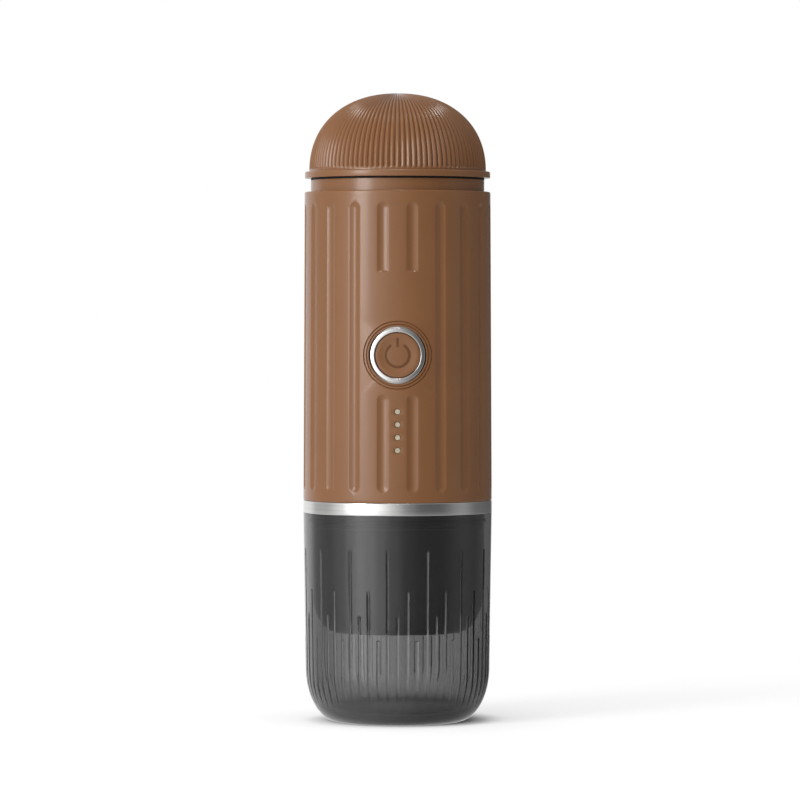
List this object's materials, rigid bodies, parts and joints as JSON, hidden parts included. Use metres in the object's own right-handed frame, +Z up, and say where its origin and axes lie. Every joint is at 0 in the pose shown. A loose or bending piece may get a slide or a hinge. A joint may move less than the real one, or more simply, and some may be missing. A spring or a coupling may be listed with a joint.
{
  "type": "portable capsule coffee maker",
  "caption": "Handheld battery coffee maker: grooved cylindrical body with power button, ribbed domed lid over the water tank, and smoky cup around a capsule holder below.",
  "frame": {"origin": "middle of the cup's flat base, on the surface that the maker stands on", "axes": "+Z up along the maker's axis, front with the power button facing -Y"},
  "size_m": [0.0702, 0.07, 0.233],
  "materials": {
    "brown_plastic": "fine satin moulding",
    "dark_plastic": "satin black",
    "smoke_plastic": "see-through smoke grey, polished",
    "trim_metal": "turned and polished",
    "bezel_metal": "brushed",
    "sign_ink": "dark brown",
    "lens": "milky",
    "silicone": "soft matt",
    "steel": "plain",
    "aluminium": "plain",
    "frame_plastic": "moulded",
    "cell_wrap": "shrink sleeve",
    "copper": "enamelled wire",
    "board": "solder mask",
    "pale_plastic": "moulded",
    "lead_red": "insulation"
  },
  "bodies": {
    "main": {"outer_housing": "brown_plastic", "neck_collar": "brown_plastic", "water_tank": "steel", "heater_plate": "aluminium", "heating_element": "steel", "thermostat": "pale_plastic", "temperature_sensor": "copper", "heater_leads": "lead_red", "upper_frame": "frame_plastic", "lower_frame": "frame_plastic", "frame_screws": "steel", "head_screws": "steel", "battery_cells": "cell_wrap", "battery_tabs": "steel", "circuit_board": "board", "board_components": "dark_plastic", "tact_switch": "steel", "indicator_leds": "pale_plastic", "indicator_lenses": "lens", "button_bezel": "bezel_metal", "charge_board": "board", "charge_socket": "steel", "port_pin": "steel", "pump_yoke": "steel", "pump_coil": "copper", "pump_sleeve": "pale_plastic", "return_spring": "steel", "buffer_spring": "steel", "outlet_valve": "dark_plastic", "valve_spring": "steel", "pump_inlet": "dark_plastic", "inlet_hose": "silicone", "outlet_hose": "silicone", "brew_head": "dark_plastic", "shower_plate": "steel", "shower_screw": "steel", "brew_seal": "silicone", "cup_seal": "silicone", "trim_ring": "trim_metal"},
    "lid": {"dome_cover": "brown_plastic", "lid_plug": "dark_plastic", "lid_seal": "silicone"},
    "power_button": {"power_button": "brown_plastic", "power_sign": "sign_ink", "switch_plunger": "pale_plastic"},
    "port_cover": {"port_cover": "brown_plastic"},
    "pump_plunger": {"pump_plunger": "steel"},
    "valve_ball": {"valve_ball": "steel"},
    "capsule_holder": {"capsule_holder": "dark_plastic", "capsule_basket": "frame_plastic", "pierce_plate": "steel", "outlet_nozzle": "dark_plastic"},
    "cup": {"cup": "smoke_plastic"}
  },
  "joints": [
    {"name": "lid_lift", "type": "slide", "parent": "main", "child": "lid", "axis": [0, 0, 1], "range_m": [0, 0.05]},
    {"name": "body_lift", "type": "slide", "parent": "capsule_holder", "child": "main", "axis": [0, 0, 1], "range_m": [0, 0.03]},
    {"name": "holder_lift", "type": "slide", "parent": "cup", "child": "capsule_holder", "axis": [0, 0, 1], "range_m": [0, 0.075]},
    {"name": "button_press", "type": "slide", "parent": "main", "child": "power_button", "axis": [0, 1, 0], "range_m": [0, 0.0006], "stiffness_N_per_m": 3000},
    {"name": "port_cover_swing", "type": "hinge", "parent": "main", "child": "port_cover", "pos_m": [0, 0.03347, 0.10437], "axis": [1, 0, 0], "range_deg": [0, 85]},
    {"name": "plunger_stroke", "type": "slide", "parent": "main", "child": "pump_plunger", "axis": [0, 0, 1], "range_m": [-0.0015, 0.0015], "stiffness_N_per_m": 1500, "deforming": ["return_spring", "buffer_spring"]},
    {"name": "valve_lift", "type": "slide", "parent": "main", "child": "valve_ball", "axis": [0, 0, -1], "range_m": [0, 0.001], "stiffness_N_per_m": 300, "deforming": ["valve_spring"]}
  ]
}
